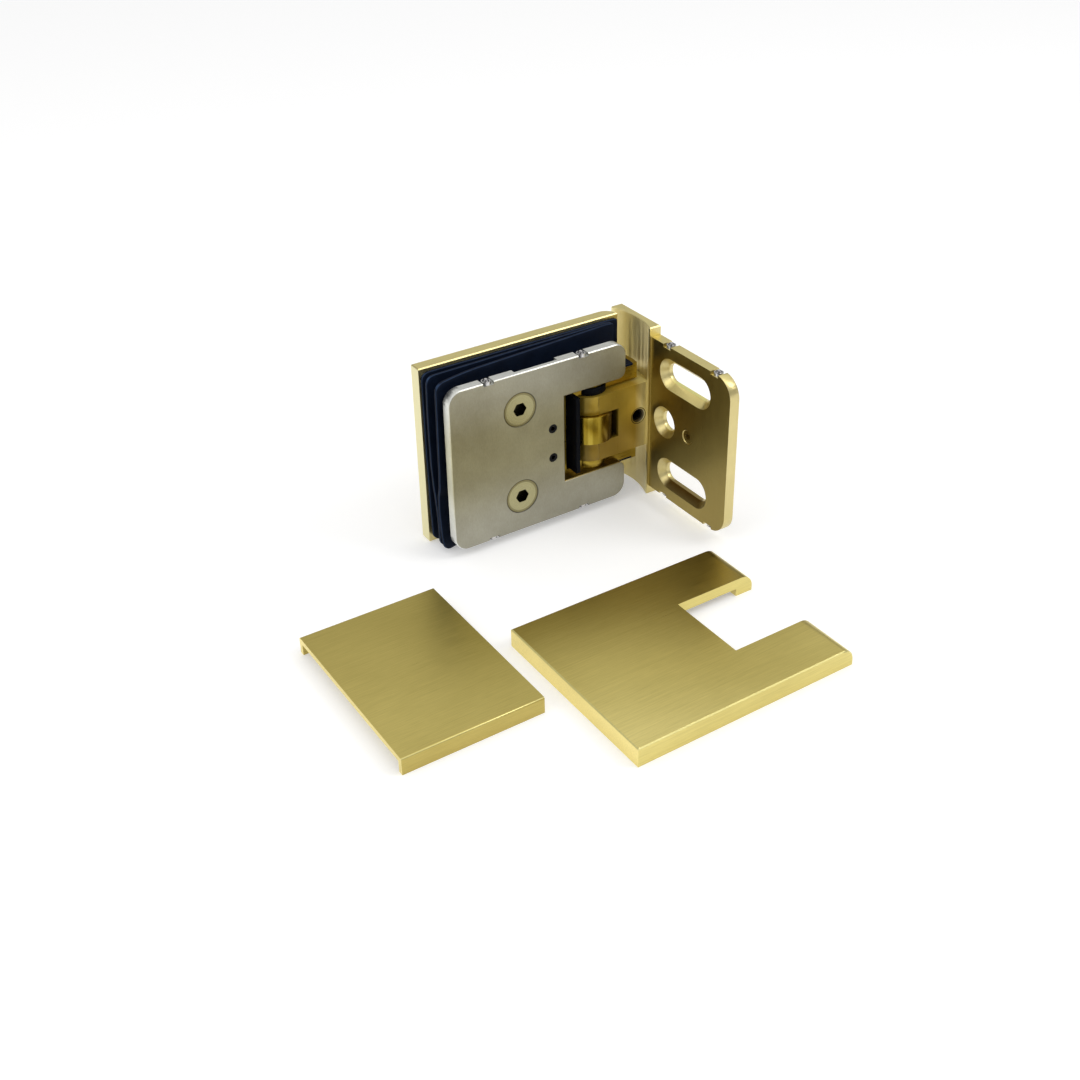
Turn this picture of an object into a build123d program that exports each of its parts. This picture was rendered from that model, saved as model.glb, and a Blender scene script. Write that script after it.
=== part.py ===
import os
from math import cos, hypot, radians, sin
from build123d import *

os.makedirs("parts", exist_ok=True)

# Frame: X runs into the wall, Y to the outer side of the door, Z up.
# The origin is the round wall screw hole, on the wall's face, at mid height.

# Driving sizes in millimetres: the whole hinge
height = 90.0
pivot_to_wall = 33.5
pivot_to_screw = 22.3
edge_break = 0.5
running_gap = 0.05

# Wall side
plate_inset = 4.8
plate_thickness = 5.2
plate_reach = 46.8
plate_corner = 10.0
block_tip = 6.3
block_front = 11.1
block_depth = 31.2
tip_land = 1.2
cove_depth = 2.9
slot_rise = 26.4
slot_start = 3.7
slot_end = 25.2
screw_hole_radius = 4.9
countersink_radius = 8.0
plug_reach = 17.6
plug_radius = 3.2
plug_recess = 0.4

# Arm, cam and pin
nose_radius = 9.8
arm_half = 17.0
window_half = 7.4
window_end = 10.6
cam_flat = 10.15
cam_radius = 11.7
cam_gap = 0.15
pin_radius = 4.5
arm_screw_reach = 22.3
arm_screw_radius = 2.9
arm_screw_mouth = 3.7
arm_screw_recess = 1.8
arm_screw_length = 7.0

# Leaf plates
leaf_reach = 82.2
leaf_end = 24.9
back_outer = 18.4
back_thickness = 6.6
arm_notch_half = 19.3
arm_notch_start = 14.3
clamp_front = 9.4
clamp_thickness = 5.0
clamp_reach = 79.5
clamp_end = 14.9
clamp_inset = 4.3
clamp_corner = 7.0
prong_corner = 6.5
prong_inner_corner = 4.0
clamp_notch_half = 22.4
clamp_notch_start = 19.5
rebate_start = 44.5
rebate_end = 21.8
rebate_depth = 2.8
clamp_screw_reach = 43.4
clamp_screw_rise = 22.6
clamp_head_radius = 8.4
clamp_shank_radius = 3.9
clamp_screw_length = 22.0
head_recess = 0.2
clamp_hex = 6.0
clamp_hex_depth = 3.5
post_radius = 6.5
small_screw_reach = 26.1
small_screw_radius = 2.3
small_screw_length = 7.4
small_hex = 2.0

# Hinge body inside the leaf
body_reach = 50.0
core_half = 15.5
head_reach = 22.0
head_half = 25.7
head_end_radius = 25.3
arm_gap = 0.6
flange_gap = 0.1
flange_radius = 8.2
flange_thickness = 3.6
bush_radius = 6.0
boss_radius = 7.4
seal_reach = 18.0
seal_thickness = 1.0
seal_lip = 2.4

# Pusher that works on the cam
pad_gap = 0.15
pad_thickness = 2.1
pad_half = 19.8
pad_front = 10.6
pad_back = 9.0
pad_side_gap = 0.2
pad_travel = 1.5
bore_rise = 7.6
bore_depth = 3.7
bore_radius = 4.2
rod_radius = 2.0
rod_end_gap = 1.0
collar_length = 6.0
spring_radius = 3.2
spring_wire = 1.1
bore_plug_length = 4.0
bore_plug_hex = 4.0

# Ball plungers in the plate edges
plunger_radius = 2.2
plunger_slot = 5.5
plunger_slot_depth = 1.5
plunger_depth = 4.0
ball_radius = 1.5
ball_stand = 1.2
ball_travel = 0.7
ball_gap = 0.08
ball_shank = 1.0
ball_rise = 0.95
ball_waist = 1.16
ball_crown = 0.4
wall_plunger_reach = (0.4, 35.0)
leaf_plunger_reach = (59.1, 8.9)

# Gaskets, each turned a little more than the one behind it
gasket_thickness = 1.4
gasket_half = 43.2
gasket_reach = 80.6
gasket_end = 24.0
gasket_step = 4.5
gasket_corner = 5.0
gasket_wall_corner = 1.5
gasket_cut_half = 30.2
gasket_cut_reach = 52.0
gasket_fan = (0.0, 2.7, 5.6)

# Covers, taken off and lying on the table with their outer faces up
cover_skin = 2.5
cover_rim = 2.8
leaf_cover_length = 109.5
leaf_cover_depth = 8.8
leaf_cover_notch = 68.0
notch_rim = 2.2
notch_rim_depth = 5.0
prong_solid = 9.0
prong_round = 6.4
wall_cover_length = 63.0
wall_cover_depth = 7.7
bend_radius = 0.8
leaf_cover_left = 92.4
wall_cover_left = 167.0
wall_cover_back = 31.5
sweep_clearance = 0.8

# Places worked out from the driving sizes
pivot_x = -pivot_to_wall
pivot_y = pivot_to_screw
half_height = height / 2
tip_x = pivot_to_wall - block_tip
block_back = block_depth - block_front
block_mid = (block_back - block_front) / 2
cove_low = tip_land - block_front
cove_high = block_back - tip_land
plate_start = block_front - pivot_to_screw
wall_plate_half = half_height - plate_inset
cone_depth = countersink_radius - screw_hole_radius
back_inner = back_outer - back_thickness
clamp_back = clamp_front - clamp_thickness
clamp_half = half_height - clamp_inset
glass_gap = back_inner + clamp_back
screw_tip = clamp_screw_length + head_recess - clamp_front
prong_low = arm_half + arm_gap
flange_low = arm_half + flange_gap
flange_high = flange_low + flange_thickness
seal_floor = head_half - seal_thickness
boss_top = clamp_notch_half - 2 * running_gap
pad_face = cam_radius + pad_gap
pad_rear = pad_face + pad_thickness
pad_pocket = pad_rear + pad_travel + pad_side_gap
collar_end = pad_rear + collar_length
plug_face = body_reach - bore_plug_length
rod_length = plug_face - pad_rear - pad_travel - rod_end_gap
spring_length = plug_face - collar_end
ball_centre = ball_stand - ball_radius
sweep_radius = hypot(pivot_to_wall, pivot_to_screw + plate_reach)
leaf_cover_back = sweep_radius + sweep_clearance
bottom = -half_height

# Working planes: level at the pivot, the leaf's front and side, the wall's face
level = Plane(origin=(pivot_x, pivot_y, 0))
leaf_front = Plane(origin=(pivot_x, pivot_y, 0), x_dir=(1, 0, 0), z_dir=(0, -1, 0))
leaf_side = Plane(origin=(pivot_x, pivot_y, 0), x_dir=(0, 1, 0), z_dir=(1, 0, 0))
wall_front = Plane(origin=(0, 0, 0), x_dir=(0, -1, 0), z_dir=(-1, 0, 0))

to_top = (Align.CENTER, Align.CENTER, Align.MAX)
to_base = (Align.CENTER, Align.CENTER, Align.MIN)

# Edge planes of the ball plungers, each facing out of its plate's edge
sides = (("upper", 1), ("lower", -1))
wall_edges = {}
leaf_edges = {}
for side, up in sides:
    for number, reach in enumerate(wall_plunger_reach, 1):
        spot = (-plate_thickness / 2, -reach, up * wall_plate_half)
        wall_edges[f"{side}_{number}"] = Plane(origin=spot, z_dir=(0, 0, up))
    for number, reach in enumerate(leaf_plunger_reach, 1):
        spot = (pivot_x - reach, pivot_y - (clamp_front + clamp_back) / 2, up * clamp_half)
        leaf_edges[f"{side}_{number}"] = Plane(origin=spot, z_dir=(0, 0, up))


def edge_seat(place, thickness):
    # Slot across the edge with the housing's hole in its floor
    with Locations(place):
        Box(plunger_slot, thickness, plunger_slot_depth, align=to_top, mode=Mode.SUBTRACT)
        Cylinder(
            plunger_radius,
            plunger_slot_depth + plunger_depth,
            align=to_top,
            mode=Mode.SUBTRACT,
        )


# Wall bracket: coved block, arm and screw plate in one piece
with BuildPart() as wall_bracket:
    with BuildSketch(level.offset(bottom)):
        with BuildLine():
            ThreePointArc((tip_x, cove_low), (tip_x + cove_depth, block_mid), (tip_x, cove_high))
            Polyline(
                (tip_x, cove_high),
                (tip_x, block_back),
                (pivot_to_wall, block_back),
                (pivot_to_wall, -block_front),
                (tip_x, -block_front),
                (tip_x, cove_low),
            )
        make_face()
    extrude(amount=height)
    chamfer(wall_bracket.edges().group_by(Axis.Z)[-1], edge_break)
    chamfer(wall_bracket.edges().group_by(Axis.Z)[0], edge_break)
    # Screw plate with rounded far corners
    with BuildSketch(wall_front) as plate_outline:
        with Locations(((plate_start + plate_reach) / 2, 0)):
            Rectangle(plate_reach - plate_start, 2 * wall_plate_half)
        fillet(plate_outline.vertices().group_by(Axis.X)[-1], plate_corner)
    extrude(amount=plate_thickness)
    # Arm with a round nose about the pivot
    with BuildSketch(level.offset(-arm_half)):
        Circle(nose_radius)
        with Locations(((tip_x + cove_depth) / 2, 0)):
            Rectangle(tip_x + cove_depth + 2 * edge_break, 2 * nose_radius)
    extrude(amount=2 * arm_half)
    with BuildSketch(level.offset(-window_half)):
        with Locations((window_end - pivot_to_wall, 0)):
            Rectangle(2 * pivot_to_wall, 3 * nose_radius)
    extrude(amount=2 * window_half, mode=Mode.SUBTRACT)
    with BuildSketch(level.offset(-arm_half)):
        Circle(pin_radius)
    extrude(amount=2 * arm_half, mode=Mode.SUBTRACT)
    # Countersunk slots, round screw hole and plugged hole
    for rise in (slot_rise, -slot_rise):
        for depth, radius in ((0, countersink_radius), (cone_depth, screw_hole_radius)):
            with BuildSketch(wall_front.offset(plate_thickness - depth)):
                with Locations(((slot_start + slot_end) / 2, rise)):
                    SlotCenterToCenter(slot_end - slot_start, 2 * radius)
        loft(mode=Mode.SUBTRACT)
        with BuildSketch(wall_front):
            with Locations(((slot_start + slot_end) / 2, rise)):
                SlotCenterToCenter(slot_end - slot_start, 2 * screw_hole_radius)
        extrude(amount=plate_thickness, mode=Mode.SUBTRACT)
    with Locations(wall_front.offset(plate_thickness)):
        CounterSinkHole(screw_hole_radius, countersink_radius, plate_thickness, 90)
        with Locations((plug_reach, 0)):
            CounterSinkHole(plug_radius, plug_radius + plug_recess, plate_thickness, 90)
    with Locations(leaf_front.offset(nose_radius)):
        with Locations((arm_screw_reach, 0)):
            CounterSinkHole(
                arm_screw_radius,
                arm_screw_mouth,
                arm_screw_recess + arm_screw_length,
                90,
            )
    for place in wall_edges.values():
        edge_seat(place, plunger_slot)
wall_bracket.part.label = "wall_bracket"
export_step(wall_bracket.part, "parts/wall_bracket.step")

# Cam sleeve: round in front and behind, with a flat to the leaf and one to the wall
with BuildPart() as cam_sleeve:
    with BuildSketch(level.offset(cam_gap - window_half)):
        Circle(cam_radius)
        Rectangle(2 * cam_flat, 2 * cam_radius, mode=Mode.INTERSECT)
        Circle(pin_radius, mode=Mode.SUBTRACT)
    extrude(amount=2 * (window_half - cam_gap))
cam_sleeve.part.label = "cam_sleeve"
export_step(cam_sleeve.part, "parts/cam_sleeve.step")

# Pivot pin through both ears of the arm
with BuildPart() as pivot_pin:
    with Locations(level):
        Cylinder(pin_radius, 2 * (boss_top - running_gap))
    chamfer(pivot_pin.edges().filter_by(GeomType.CIRCLE), edge_break)
pivot_pin.part.label = "pivot_pin"
export_step(pivot_pin.part, "parts/pivot_pin.step")

# Set screw in the arm's front face
with BuildPart() as arm_set_screw:
    place = leaf_front.offset(nose_radius - arm_screw_recess)
    with BuildSketch(place):
        with Locations((arm_screw_reach, 0)):
            Circle(arm_screw_radius)
            RegularPolygon(small_hex, 6, major_radius=False, mode=Mode.SUBTRACT)
    extrude(amount=-arm_screw_length / 2)
    with BuildSketch(place.offset(-arm_screw_length / 2)):
        with Locations((arm_screw_reach, 0)):
            Circle(arm_screw_radius)
    extrude(amount=-arm_screw_length / 2)
arm_set_screw.part.label = "arm_set_screw"
export_step(arm_set_screw.part, "parts/arm_set_screw.step")

# Set screw that plugs the small hole of the screw plate
with BuildPart() as wall_plug_screw:
    with BuildSketch(wall_front):
        with Locations((plug_reach, 0)):
            Circle(plug_radius)
    extrude(amount=plate_thickness - plug_recess)
    with BuildSketch(wall_front.offset(plate_thickness - plug_recess)):
        with Locations((plug_reach, 0)):
            RegularPolygon(small_hex * 3 / 4, 6, major_radius=False)
    extrude(amount=-plate_thickness / 2, mode=Mode.SUBTRACT)
wall_plug_screw.part.label = "wall_plug_screw"
export_step(wall_plug_screw.part, "parts/wall_plug_screw.step")

# Ball plungers: a housing and its round-nosed plunger at each place
for group, edges in (("wall", wall_edges), ("leaf", leaf_edges)):
    for name, place in edges.items():
        with BuildPart() as housing:
            with Locations(place):
                Cylinder(plunger_radius, plunger_slot_depth + plunger_depth, align=to_top)
                Cylinder(
                    ball_radius + ball_gap,
                    ball_shank + ball_travel + ball_gap - ball_centre,
                    align=to_top,
                    mode=Mode.SUBTRACT,
                )
        housing.part.label = f"{group}_plunger_{name}"
        export_step(housing.part, f"parts/{group}_plunger_{name}.step")
        with BuildPart() as ball:
            with Locations(place.offset(ball_centre)):
                Cylinder(ball_radius, ball_shank, align=to_top)
                Cone(ball_radius, ball_waist, ball_rise, align=to_base)
            with Locations(place.offset(ball_centre + ball_rise)):
                Cone(ball_waist, ball_crown, ball_radius - ball_rise, align=to_base)
        ball.part.label = f"{group}_ball_{name}"
        export_step(ball.part, f"parts/{group}_ball_{name}.step")

# Back plate with the arm's notch and two threaded posts
with BuildPart() as back_plate:
    with BuildSketch(level.offset(bottom)):
        with BuildLine():
            Polyline(
                (leaf_end - back_thickness, back_outer),
                (-leaf_reach, back_outer),
                (-leaf_reach, back_inner),
                (leaf_end, back_inner),
            )
            CenterArc((leaf_end - back_thickness, back_inner), back_thickness, 0, 90)
        make_face()
    extrude(amount=height)
    chamfer(back_plate.edges().group_by(Axis.Z)[-1], edge_break)
    chamfer(back_plate.edges().group_by(Axis.Z)[0], edge_break)
    with BuildSketch(leaf_front.offset(-back_outer)):
        with Locations((leaf_end, 0)):
            Rectangle(2 * (leaf_end + arm_notch_start), 2 * arm_notch_half)
    extrude(amount=back_thickness, mode=Mode.SUBTRACT)
    for rise in (clamp_screw_rise, -clamp_screw_rise):
        with BuildSketch(leaf_front.offset(-back_inner)):
            with Locations((-clamp_screw_reach, rise)):
                Circle(post_radius)
        extrude(amount=glass_gap)
        with BuildSketch(leaf_front.offset(clamp_back)):
            with Locations((-clamp_screw_reach, rise)):
                Circle(clamp_shank_radius)
        extrude(amount=-(clamp_back + screw_tip), mode=Mode.SUBTRACT)
back_plate.part.label = "back_plate"
export_step(back_plate.part, "parts/back_plate.step")

# Hinge body: forked head about the arm and a core with two spring bores
with BuildPart() as hinge_body:
    with BuildSketch(level.offset(-head_half)):
        with Locations(((head_end_radius - head_reach) / 2, (back_inner - clamp_back) / 2)):
            Rectangle(head_end_radius + head_reach, glass_gap)
        Circle(head_end_radius, mode=Mode.INTERSECT)
    extrude(amount=2 * head_half)
    with BuildSketch(leaf_front.offset(-back_inner)):
        with Locations((-(body_reach + arm_notch_start) / 2, 0)):
            Rectangle(body_reach - arm_notch_start, 2 * core_half)
    extrude(amount=glass_gap)
    # Boss round each bush, in front of the head
    for side, up in sides:
        with Locations(Plane(origin=(pivot_x, pivot_y, up * flange_high), z_dir=(0, 0, up))):
            Cylinder(boss_radius, boss_top - flange_high, align=to_base)
    # Room for the arm, open in front, behind and to the wall
    with BuildSketch(leaf_front.offset(-back_outer)):
        with Locations((head_end_radius, 0)):
            Rectangle(2 * (head_end_radius + pad_face), 2 * prong_low)
    extrude(amount=2 * back_outer, mode=Mode.SUBTRACT)
    # Pocket of the pusher's pad, open in front
    with BuildSketch(leaf_front.offset(-pad_back - pad_side_gap)):
        with Locations((-(pad_pocket + pad_face) / 2, 0)):
            Rectangle(pad_pocket - pad_face, 2 * (pad_half + pad_side_gap))
    extrude(amount=2 * back_outer, mode=Mode.SUBTRACT)
    # Bores of the two springs
    with BuildSketch(leaf_side.offset(-body_reach)):
        with Locations((bore_depth, bore_rise), (bore_depth, -bore_rise)):
            Circle(bore_radius)
    extrude(amount=body_reach - pad_face, mode=Mode.SUBTRACT)
    # Seats of the bushes and of the seals
    for side, up in sides:
        with Locations(Plane(origin=(pivot_x, pivot_y, up * arm_half), z_dir=(0, 0, up))):
            Cylinder(bush_radius, boss_top - arm_half, align=to_base, mode=Mode.SUBTRACT)
            Cylinder(
                flange_radius + running_gap,
                flange_high - arm_half,
                align=to_base,
                mode=Mode.SUBTRACT,
            )
        with BuildSketch(level.offset(up * head_half)):
            Circle(head_end_radius - seal_lip)
            with Locations(((head_end_radius - seal_reach) / 2, 0)):
                Rectangle(head_end_radius + seal_reach, 2 * head_end_radius, mode=Mode.INTERSECT)
        extrude(amount=-up * seal_thickness, mode=Mode.SUBTRACT)
    # Holes of the two small screws
    with BuildSketch(leaf_front.offset(clamp_back)):
        with Locations((-small_screw_reach, bore_rise), (-small_screw_reach, -bore_rise)):
            Circle(small_screw_radius)
    extrude(amount=clamp_thickness - small_screw_length, mode=Mode.SUBTRACT)
hinge_body.part.label = "hinge_body"
export_step(hinge_body.part, "parts/hinge_body.step")

# Clamp plate in front of the body
with BuildPart() as clamp_plate:
    with BuildSketch(leaf_front.offset(clamp_back)) as clamp_outline:
        with Locations(((clamp_end - clamp_reach) / 2, 0)):
            Rectangle(clamp_end + clamp_reach, 2 * clamp_half)
        fillet(clamp_outline.vertices().group_by(Axis.X)[0], clamp_corner)
        with Locations((clamp_end, 0)):
            Rectangle(
                2 * (clamp_end + clamp_notch_start),
                2 * clamp_notch_half,
                mode=Mode.SUBTRACT,
            )
        ends = clamp_outline.vertices().group_by(Axis.X)[-1].sort_by(Axis.Y)
        fillet([ends[0], ends[-1]], prong_corner)
        ends = clamp_outline.vertices().group_by(Axis.X)[-1].sort_by(Axis.Y)
        fillet([v for v in ends if abs(abs(v.Y) - clamp_notch_half) < edge_break], prong_inner_corner)
    extrude(amount=clamp_thickness)
    chamfer(clamp_plate.faces().sort_by(Axis.Y)[0].edges(), edge_break)
    # Rebates in the rear half of the top and bottom edges
    for up in (1, -1):
        with BuildSketch(leaf_front.offset(clamp_back)):
            with Locations((-(rebate_start + rebate_end) / 2, up * clamp_half)):
                RectangleRounded(rebate_start - rebate_end, 2 * rebate_depth, rebate_depth / 2)
        extrude(amount=clamp_thickness / 2, mode=Mode.SUBTRACT)
    # Screw holes and plunger seats
    with Locations(leaf_front.offset(clamp_front)):
        for rise in (clamp_screw_rise, -clamp_screw_rise):
            with Locations((-clamp_screw_reach, rise)):
                CounterSinkHole(
                    clamp_shank_radius,
                    clamp_head_radius + head_recess,
                    clamp_thickness,
                    90,
                )
    with BuildSketch(leaf_front.offset(clamp_back)):
        with Locations((-small_screw_reach, bore_rise), (-small_screw_reach, -bore_rise)):
            Circle(small_screw_radius)
    extrude(amount=clamp_thickness, mode=Mode.SUBTRACT)
    for place in leaf_edges.values():
        edge_seat(place, plunger_slot)
clamp_plate.part.label = "clamp_plate"
export_step(clamp_plate.part, "parts/clamp_plate.step")

# Screws, springs and bushes that come as an upper and a lower one
for side, up in sides:
    # Countersunk screw that clamps the glass
    with BuildPart() as clamp_screw:
        place = leaf_front.offset(clamp_front - head_recess)
        with Locations(place):
            with Locations((-clamp_screw_reach, up * clamp_screw_rise)):
                Cylinder(clamp_shank_radius, clamp_screw_length, align=to_top)
                Cone(
                    clamp_shank_radius,
                    clamp_head_radius,
                    clamp_head_radius - clamp_shank_radius,
                    align=to_top,
                )
        with BuildSketch(place):
            with Locations((-clamp_screw_reach, up * clamp_screw_rise)):
                RegularPolygon(clamp_hex / 2, 6, major_radius=False)
        extrude(amount=-clamp_hex_depth, mode=Mode.SUBTRACT)
    clamp_screw.part.label = f"clamp_screw_{side}"
    export_step(clamp_screw.part, f"parts/clamp_screw_{side}.step")

    # Small black screw that holds the plate on the body
    with BuildPart() as small_screw:
        place = leaf_front.offset(clamp_front - head_recess)
        with BuildSketch(place):
            with Locations((-small_screw_reach, up * bore_rise)):
                Circle(small_screw_radius)
        extrude(amount=-(small_screw_length - head_recess))
        with BuildSketch(place):
            with Locations((-small_screw_reach, up * bore_rise)):
                RegularPolygon(small_hex / 2, 6, major_radius=False)
        extrude(amount=-clamp_thickness / 2, mode=Mode.SUBTRACT)
    small_screw.part.label = f"small_screw_{side}"
    export_step(small_screw.part, f"parts/small_screw_{side}.step")

    # Flanged bush between the arm and the body's prong
    with BuildPart() as bush:
        base = Plane(origin=(pivot_x, pivot_y, up * flange_low), z_dir=(0, 0, up))
        with Locations(base):
            Cylinder(flange_radius, flange_thickness, align=to_base)
            Cylinder(bush_radius, boss_top - running_gap - flange_low, align=to_base)
            Cylinder(pin_radius + running_gap, head_half, align=to_base, mode=Mode.SUBTRACT)
    bush.part.label = f"bush_{side}"
    export_step(bush.part, f"parts/bush_{side}.step")

    # Seal strip in the body's recess
    with BuildPart() as body_seal:
        with BuildSketch(level.offset(up * seal_floor)):
            Circle(head_end_radius - seal_lip)
            with Locations(((head_end_radius - seal_reach) / 2, (back_inner - clamp_back) / 2)):
                Rectangle(head_end_radius + seal_reach, glass_gap, mode=Mode.INTERSECT)
        extrude(amount=up * seal_thickness)
    body_seal.part.label = f"body_seal_{side}"
    export_step(body_seal.part, f"parts/body_seal_{side}.step")

    # Rod with a guide collar behind the pusher's pad
    with BuildPart() as pusher_rod:
        with BuildSketch(leaf_side.offset(-pad_rear)):
            with Locations((bore_depth, up * bore_rise)):
                Circle(bore_radius - running_gap)
        extrude(amount=-collar_length)
        with BuildSketch(leaf_side.offset(-pad_rear)):
            with Locations((bore_depth, up * bore_rise)):
                Circle(rod_radius)
        extrude(amount=-rod_length)
    pusher_rod.part.label = f"pusher_rod_{side}"
    export_step(pusher_rod.part, f"parts/pusher_rod_{side}.step")

    # Spring round the rod, as a plain sleeve
    with BuildPart() as pusher_spring:
        with BuildSketch(leaf_side.offset(-plug_face)):
            with Locations((bore_depth, up * bore_rise)):
                Circle(spring_radius + spring_wire / 2)
                Circle(spring_radius - spring_wire / 2, mode=Mode.SUBTRACT)
        extrude(amount=spring_length)
    pusher_spring.part.label = f"pusher_spring_{side}"
    export_step(pusher_spring.part, f"parts/pusher_spring_{side}.step")

    # Plug screw that closes the spring's bore
    with BuildPart() as bore_plug:
        with BuildSketch(leaf_side.offset(-body_reach)):
            with Locations((bore_depth, up * bore_rise)):
                Circle(bore_radius)
        extrude(amount=bore_plug_length)
        with BuildSketch(leaf_side.offset(-body_reach)):
            with Locations((bore_depth, up * bore_rise)):
                RegularPolygon(bore_plug_hex / 2, 6, major_radius=False)
        extrude(amount=bore_plug_length / 2, mode=Mode.SUBTRACT)
    bore_plug.part.label = f"bore_plug_{side}"
    export_step(bore_plug.part, f"parts/bore_plug_{side}.step")

# Pad that the springs push towards the cam
with BuildPart() as pusher_pad:
    with BuildSketch(leaf_front.offset(-pad_back)):
        with Locations((-(pad_rear + pad_face) / 2, 0)):
            Rectangle(pad_thickness, 2 * pad_half)
    extrude(amount=pad_back + pad_front)
pusher_pad.part.label = "pusher_pad"
export_step(pusher_pad.part, "parts/pusher_pad.step")

# Three gaskets, open to the wall, lying against one another at that end
gasket_x = pivot_x + gasket_end
gasket_y = pivot_y + back_inner
for name, fan in zip(("back", "middle", "front"), gasket_fan):
    turn = radians(fan)
    near = 0 if name == "back" else -gasket_step
    place = Plane(
        origin=(gasket_x, gasket_y, 0),
        x_dir=(cos(turn), sin(turn), 0),
        z_dir=(sin(turn), -cos(turn), 0),
    )
    with BuildPart() as gasket:
        with BuildSketch(place) as outline:
            with Locations(((near - gasket_end - gasket_reach) / 2, 0)):
                Rectangle(near + gasket_end + gasket_reach, 2 * gasket_half)
            fillet(outline.vertices().group_by(Axis.X)[0], gasket_corner)
            fillet(outline.vertices().group_by(Axis.X)[-1], gasket_wall_corner)
            Rectangle(
                2 * (gasket_end + gasket_cut_reach),
                2 * gasket_cut_half,
                mode=Mode.SUBTRACT,
            )
        extrude(amount=gasket_thickness)
    gasket.part.label = f"gasket_{name}"
    export_step(gasket.part, f"parts/gasket_{name}.step")
    gasket_x += gasket_thickness * sin(turn)
    gasket_y -= gasket_thickness * cos(turn)

# Notched cover of the leaf, lying with its notch to the wall
with BuildPart() as leaf_cover:
    top = bottom + leaf_cover_depth
    right = leaf_cover_length - leaf_cover_left
    with BuildSketch(leaf_front.offset(leaf_cover_back)):
        with BuildLine():
            Polyline(
                (right - prong_round, top),
                (-leaf_cover_left, top),
                (-leaf_cover_left, bottom),
                (right, bottom),
                (right, top - prong_round),
            )
            CenterArc((right - prong_round, top - prong_round), prong_round, 0, 90)
        make_face()
    extrude(amount=height)
    rims = leaf_cover.edges().group_by(Axis.Z)[-1].filter_by(Axis.X)
    left_rim = leaf_cover.edges().group_by(Axis.Z)[-1].filter_by(Axis.Y).sort_by(Axis.X)[0]
    chamfer(rims + [left_rim], edge_break)
    # Hollow under the skin, notch, and its lower rim
    middle = -(leaf_cover_back + half_height)
    notch_x = leaf_cover_notch - leaf_cover_left
    solid_x = right - prong_solid
    with BuildSketch(level.offset(bottom)):
        with Locations(((notch_x - notch_rim + cover_rim - leaf_cover_left) / 2, middle)):
            Rectangle(leaf_cover_notch - notch_rim - cover_rim, height - 2 * cover_rim)
        for way in (1, -1):
            low = arm_notch_half + notch_rim
            high = half_height - cover_rim
            with Locations(((notch_x - 2 * notch_rim + solid_x) / 2, middle + way * (low + high) / 2)):
                Rectangle(solid_x - notch_x + 2 * notch_rim, high - low)
    extrude(amount=leaf_cover_depth - cover_skin, mode=Mode.SUBTRACT)
    with BuildSketch(level.offset(bottom)):
        with Locations(((notch_x - 2 * notch_rim + solid_x) / 2, middle)):
            Rectangle(solid_x - notch_x + 2 * notch_rim, 2 * (arm_notch_half + notch_rim))
    extrude(amount=leaf_cover_depth - notch_rim_depth, mode=Mode.SUBTRACT)
    with BuildSketch(level.offset(bottom)):
        with Locations(((notch_x + right) / 2 + 1, middle)):
            Rectangle(right - notch_x + 2, 2 * arm_notch_half)
    extrude(amount=leaf_cover_depth, mode=Mode.SUBTRACT)
leaf_cover.part.label = "leaf_cover"
export_step(leaf_cover.part, "parts/leaf_cover.step")

# Channel cover of the screw plate, lying beyond the leaf's end
with BuildPart() as wall_cover:
    with BuildSketch(leaf_side.offset(-wall_cover_left)):
        with Locations((-(wall_cover_back + half_height), bottom + wall_cover_depth / 2)):
            Rectangle(height, wall_cover_depth)
        with Locations((-(wall_cover_back + half_height), bottom)):
            Rectangle(
                height - 2 * cover_skin,
                2 * (wall_cover_depth - cover_skin),
                mode=Mode.SUBTRACT,
            )
    extrude(amount=wall_cover_length)
    folds = wall_cover.edges().group_by(Axis.Z)[-1].filter_by(Axis.X)
    fillet(folds, bend_radius)
wall_cover.part.label = "wall_cover"
export_step(wall_cover.part, "parts/wall_cover.step")
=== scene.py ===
import math
import bpy
from mathutils import Matrix, Vector

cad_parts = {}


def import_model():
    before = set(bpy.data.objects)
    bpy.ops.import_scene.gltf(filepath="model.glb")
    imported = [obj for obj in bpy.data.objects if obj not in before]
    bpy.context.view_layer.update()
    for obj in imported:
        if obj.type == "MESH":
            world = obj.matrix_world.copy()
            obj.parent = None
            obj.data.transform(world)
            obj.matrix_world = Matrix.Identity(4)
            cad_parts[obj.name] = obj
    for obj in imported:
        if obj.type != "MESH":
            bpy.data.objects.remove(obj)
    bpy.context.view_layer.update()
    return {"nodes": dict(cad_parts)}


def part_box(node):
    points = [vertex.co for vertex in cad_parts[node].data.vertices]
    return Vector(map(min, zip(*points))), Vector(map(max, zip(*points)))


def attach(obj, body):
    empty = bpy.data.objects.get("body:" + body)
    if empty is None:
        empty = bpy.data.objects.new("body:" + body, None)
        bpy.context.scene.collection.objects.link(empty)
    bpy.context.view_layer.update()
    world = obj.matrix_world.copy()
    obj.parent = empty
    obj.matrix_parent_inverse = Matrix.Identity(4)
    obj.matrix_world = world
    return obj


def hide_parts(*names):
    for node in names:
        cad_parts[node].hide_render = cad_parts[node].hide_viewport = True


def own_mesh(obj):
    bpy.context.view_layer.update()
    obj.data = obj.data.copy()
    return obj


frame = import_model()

nodes = frame["nodes"]
scene = bpy.context.scene

# Places in metres that the source fixes
mm = 0.001
pivot = Vector((-0.0335, 0.0223, 0.0))
table_z = -0.045
gasket_wall_face = 0.0341
gasket_right_end = -0.0095

# Camera at the photograph's place, lens and framing, with its angles in radians
camera_place = (-0.36457, -0.46189, 0.31514)
camera_turn = -0.59642
camera_tip = math.pi / 2 - 0.51937
camera_roll = -0.00346
camera_lens = 46.62
camera_sensor = 36.0
camera_shift = (-0.0411, -0.0768)
camera_near = 0.01

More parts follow.
